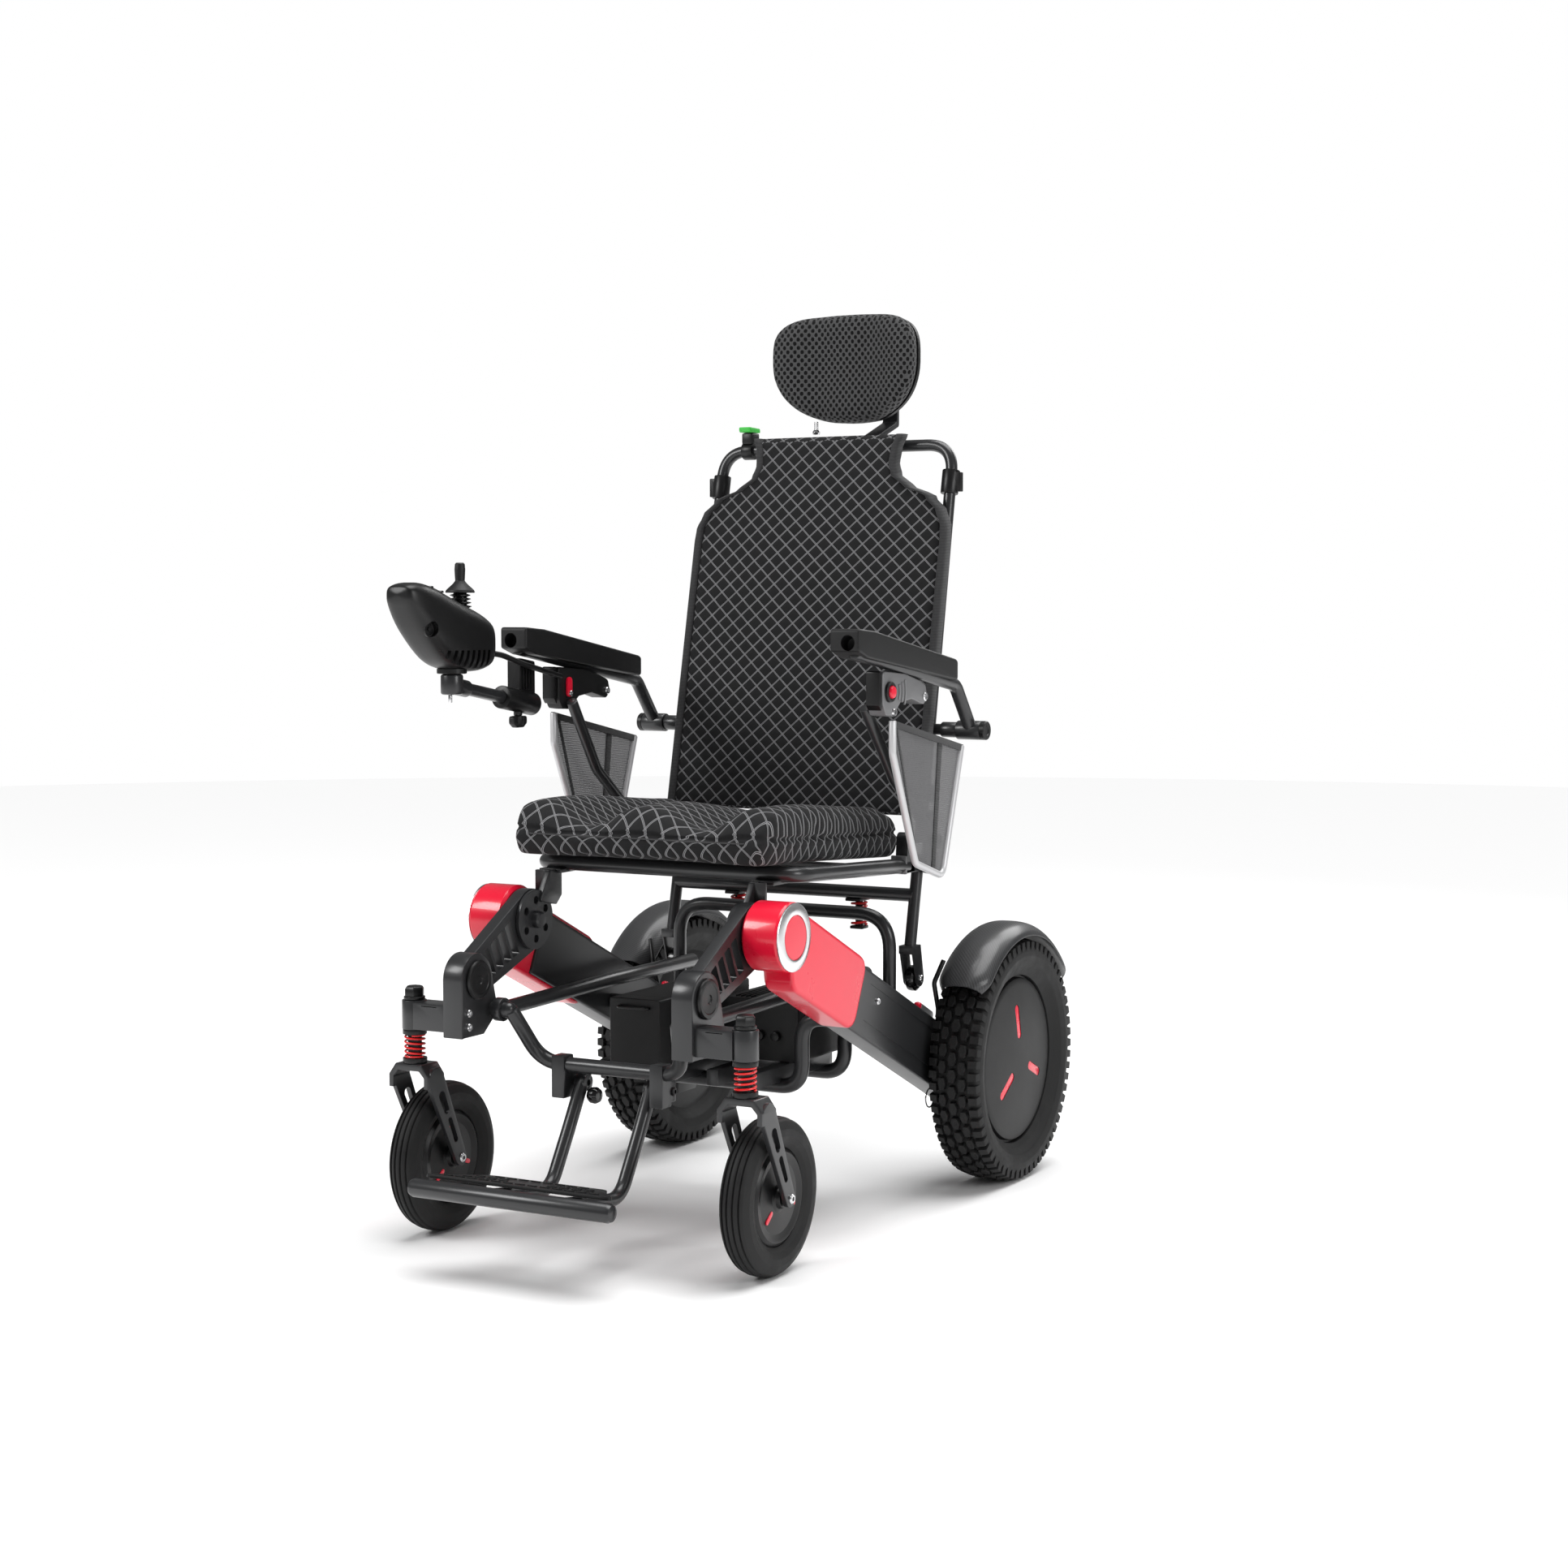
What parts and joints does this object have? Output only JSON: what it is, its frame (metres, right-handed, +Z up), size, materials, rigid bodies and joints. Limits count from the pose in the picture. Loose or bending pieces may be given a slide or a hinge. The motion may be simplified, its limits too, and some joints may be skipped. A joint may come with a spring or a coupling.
{
  "type": "power_wheelchair",
  "caption": "Folding power wheelchair with a reclining back, headrest, flip-up arms, joystick, sprung casters, hub-motor drive wheels and a flip-up footrest",
  "frame": {"origin": "on the floor, at the centre of the chair's footprint", "axes": "+Z up, the chair faces -Y, its left side is +X"},
  "size_m": [0.633, 1.037, 1.2659],
  "materials": {
    "frame_grey": "satin dark grey",
    "black_plastic": "fine satin black",
    "red_gloss": "glossy crimson",
    "silver": "satin silver",
    "tyre_rubber": "matt black rubber",
    "carbon_weave": "carbon weave under satin lacquer",
    "black_fabric": "black woven fabric with a pale diamond stitch"
  },
  "bodies": {
    "chassis": {"left_rear_beam": "frame_grey", "right_rear_beam": "frame_grey", "left_hinge_cover": "red_gloss", "right_hinge_cover": "red_gloss", "u_frame": "frame_grey", "battery_cradle": "frame_grey", "battery_box": "black_plastic", "power_module": "black_plastic", "left_fender": "carbon_weave", "right_fender": "carbon_weave"},
    "front_arms": {"left_truss_arm": "frame_grey", "right_truss_arm": "frame_grey"},
    "carriers": {"left_caster_carrier": "frame_grey", "right_caster_carrier": "frame_grey", "footrest_crossbar": "frame_grey"},
    "lower_links": {"left_lower_link": "frame_grey", "right_lower_link": "frame_grey"},
    "footrest": {"footrest_frame": "frame_grey", "footplate": "black_plastic"},
    "seat": {"seat_frame": "frame_grey", "seat_cushion": "black_fabric"},
    "back": {"back_frame": "frame_grey", "back_cushion": "black_fabric"},
    "headrest_post": {"headrest_post": "frame_grey"},
    "headrest": {"headrest_cushion": "black_fabric"},
    "controller_arm": {"controller_arm": "frame_grey"},
    "controller": {"controller_body": "black_plastic"},
    "joystick_gimbal": {"joystick_boot": "black_plastic"},
    "joystick": {"joystick": "black_plastic"},
    "wing_knob": {"wing_knob": "black_plastic"},
    "left_drive_wheel": {"left_drive_tyre": "tyre_rubber", "left_hub_motor": "black_plastic"},
    "left_clutch_lever": {"left_clutch_lever": "silver"},
    "left_caster_stem": {"left_caster_stem": "black_plastic", "left_caster_spring": "red_gloss"},
    "left_caster_fork": {"left_caster_fork": "frame_grey"},
    "left_caster_wheel": {"left_caster_tyre": "tyre_rubber", "left_caster_wheel": "black_plastic"},
    "left_trolley_wheel": {"left_trolley_wheel": "black_plastic"},
    "left_armrest": {"left_armrest_frame": "frame_grey", "left_armrest_pad": "black_plastic", "left_side_guard": "silver"},
    "left_armrest_post": {"left_armrest_post": "frame_grey"},
    "left_release_button": {"left_release_button": "red_gloss"},
    "right_drive_wheel": {"right_drive_tyre": "tyre_rubber", "right_hub_motor": "black_plastic"},
    "right_clutch_lever": {"right_clutch_lever": "silver"},
    "right_caster_stem": {"right_caster_stem": "black_plastic", "right_caster_spring": "red_gloss"},
    "right_caster_fork": {"right_caster_fork": "frame_grey"},
    "right_caster_wheel": {"right_caster_tyre": "tyre_rubber", "right_caster_wheel": "black_plastic"},
    "right_trolley_wheel": {"right_trolley_wheel": "black_plastic"},
    "right_armrest": {"right_armrest_frame": "frame_grey", "right_armrest_pad": "black_plastic", "right_side_guard": "silver", "controller_bracket": "frame_grey", "controller_cable": "black_plastic"},
    "right_armrest_post": {"right_armrest_post": "frame_grey"},
    "right_release_button": {"right_release_button": "red_gloss"}
  },
  "joints": [
    {"name": "front_fold", "type": "hinge", "parent": "chassis", "child": "front_arms", "pos_m": [0, -0.2165, 0.412], "axis": [1, 0, 0], "range_deg": [0, 25]},
    {"name": "carrier_level", "type": "hinge", "parent": "front_arms", "child": "carriers", "pos_m": [0, -0.3515, 0.348], "axis": [1, 0, 0], "range_deg": [-10, 0]},
    {"name": "lower_links", "type": "hinge", "parent": "carriers", "child": "lower_links", "pos_m": [0, -0.3195, 0.306], "axis": [1, 0, 0], "range_deg": [-10.25, 0]},
    {"name": "seat_fold", "type": "hinge", "parent": "chassis", "child": "seat", "pos_m": [0, -0.2165, 0.412], "axis": [1, 0, 0], "range_deg": [0, 15]},
    {"name": "footrest_flip", "type": "hinge", "parent": "carriers", "child": "footrest", "pos_m": [0, -0.2625, 0.209], "axis": [-1, 0, 0], "range_deg": [0, 70]},
    {"name": "back_recline", "type": "hinge", "parent": "seat", "child": "back", "pos_m": [0, 0.2245, 0.47], "axis": [-1, 0, 0], "range_deg": [-15, 40]},
    {"name": "headrest_slide", "type": "slide", "parent": "back", "child": "headrest_post", "axis": [0, 0, 1], "range_m": [0, 0.05]},
    {"name": "headrest_tilt", "type": "hinge", "parent": "headrest_post", "child": "headrest", "pos_m": [0, 0.4485, 1.17], "axis": [1, 0, 0], "range_deg": [-15, 6]},
    {"name": "left_drive_wheel_spin", "type": "hinge", "parent": "chassis", "child": "left_drive_wheel", "pos_m": [0.276, 0.3425, 0.176], "axis": [1, 0, 0], "continuous": true},
    {"name": "left_clutch_lever_turn", "type": "hinge", "parent": "chassis", "child": "left_clutch_lever", "pos_m": [0.209, 0.2365, 0.247], "axis": [-1, 0, 0], "range_deg": [0, 60]},
    {"name": "left_suspension", "type": "slide", "parent": "carriers", "child": "left_caster_stem", "axis": [0, 0, 1], "range_m": [0, 0.015], "stiffness_N_per_m": 6000, "springref_m": -0.03, "deforming": ["left_caster_spring"]},
    {"name": "left_caster_swivel", "type": "hinge", "parent": "left_caster_stem", "child": "left_caster_fork", "pos_m": [0.249, -0.3635, 0.225], "axis": [0, 0, 1], "continuous": true},
    {"name": "left_caster_spin", "type": "hinge", "parent": "left_caster_fork", "child": "left_caster_wheel", "pos_m": [0.249, -0.305, 0.1], "axis": [1, 0, 0], "continuous": true},
    {"name": "left_trolley_spin", "type": "hinge", "parent": "seat", "child": "left_trolley_wheel", "pos_m": [0.1966, 0.2105, 0.3035], "axis": [1, 0, 0], "continuous": true},
    {"name": "left_armrest_flip", "type": "hinge", "parent": "back", "child": "left_armrest", "pos_m": [0.262, 0.2585, 0.655], "axis": [-1, 0, 0], "range_deg": [0, 95]},
    {"name": "left_post_swing", "type": "hinge", "parent": "seat", "child": "left_armrest_post", "pos_m": [0.243, 0.1845, 0.503], "axis": [-1, 0, 0], "range_deg": [-16.2, 43.2]},
    {"name": "left_release_press", "type": "slide", "parent": "left_armrest", "child": "left_release_button", "axis": [-1, 0, 0], "range_m": [0, 0.003], "stiffness_N_per_m": 400, "springref_m": -0.004},
    {"name": "right_drive_wheel_spin", "type": "hinge", "parent": "chassis", "child": "right_drive_wheel", "pos_m": [-0.276, 0.3425, 0.176], "axis": [1, 0, 0], "continuous": true},
    {"name": "right_clutch_lever_turn", "type": "hinge", "parent": "chassis", "child": "right_clutch_lever", "pos_m": [-0.209, 0.2365, 0.247], "axis": [-1, 0, 0], "range_deg": [0, 60]},
    {"name": "right_suspension", "type": "slide", "parent": "carriers", "child": "right_caster_stem", "axis": [0, 0, 1], "range_m": [0, 0.015], "stiffness_N_per_m": 6000, "springref_m": -0.03, "deforming": ["right_caster_spring"]},
    {"name": "right_caster_swivel", "type": "hinge", "parent": "right_caster_stem", "child": "right_caster_fork", "pos_m": [-0.249, -0.3635, 0.225], "axis": [0, 0, 1], "continuous": true},
    {"name": "right_caster_spin", "type": "hinge", "parent": "right_caster_fork", "child": "right_caster_wheel", "pos_m": [-0.249, -0.305, 0.1], "axis": [1, 0, 0], "continuous": true},
    {"name": "right_trolley_spin", "type": "hinge", "parent": "seat", "child": "right_trolley_wheel", "pos_m": [-0.1966, 0.2105, 0.3035], "axis": [1, 0, 0], "continuous": true},
    {"name": "right_armrest_flip", "type": "hinge", "parent": "back", "child": "right_armrest", "pos_m": [-0.262, 0.2585, 0.655], "axis": [-1, 0, 0], "range_deg": [0, 95]},
    {"name": "right_post_swing", "type": "hinge", "parent": "seat", "child": "right_armrest_post", "pos_m": [-0.243, 0.1845, 0.503], "axis": [-1, 0, 0], "range_deg": [-16.2, 43.2]},
    {"name": "right_release_press", "type": "slide", "parent": "right_armrest", "child": "right_release_button", "axis": [1, 0, 0], "range_m": [0, 0.003], "stiffness_N_per_m": 400, "springref_m": -0.004},
    {"name": "controller_slide", "type": "slide", "parent": "right_armrest", "child": "controller_arm", "axis": [0, -0.9867, 0.1628], "range_m": [0, 0.05]},
    {"name": "controller_swivel", "type": "hinge", "parent": "controller_arm", "child": "controller", "pos_m": [-0.256, -0.2655, 0.7404], "axis": [0, 0, 1], "range_deg": [0, 90]},
    {"name": "joystick_pitch", "type": "hinge", "parent": "controller", "child": "joystick_gimbal", "pos_m": [-0.256, -0.2455, 0.822], "axis": [1, 0, 0], "range_deg": [-18, 18], "stiffness_Nm_per_rad": 0.3},
    {"name": "joystick_roll", "type": "hinge", "parent": "joystick_gimbal", "child": "joystick", "pos_m": [-0.256, -0.2455, 0.822], "axis": [0, 1, 0], "range_deg": [-18, 18], "stiffness_Nm_per_rad": 0.3},
    {"name": "wing_knob_turn", "type": "hinge", "parent": "right_armrest", "child": "wing_knob", "pos_m": [-0.256, -0.1125, 0.678], "axis": [0, 0, 1], "continuous": true}
  ],
  "couplings": [
    {"joint": "carrier_level", "follows": "front_fold", "ratio": -0.4},
    {"joint": "lower_links", "follows": "front_fold", "ratio": -0.41},
    {"joint": "seat_fold", "follows": "front_fold", "ratio": 0.6},
    {"joint": "left_post_swing", "follows": "back_recline", "ratio": 1.08},
    {"joint": "right_post_swing", "follows": "back_recline", "ratio": 1.08}
  ]
}
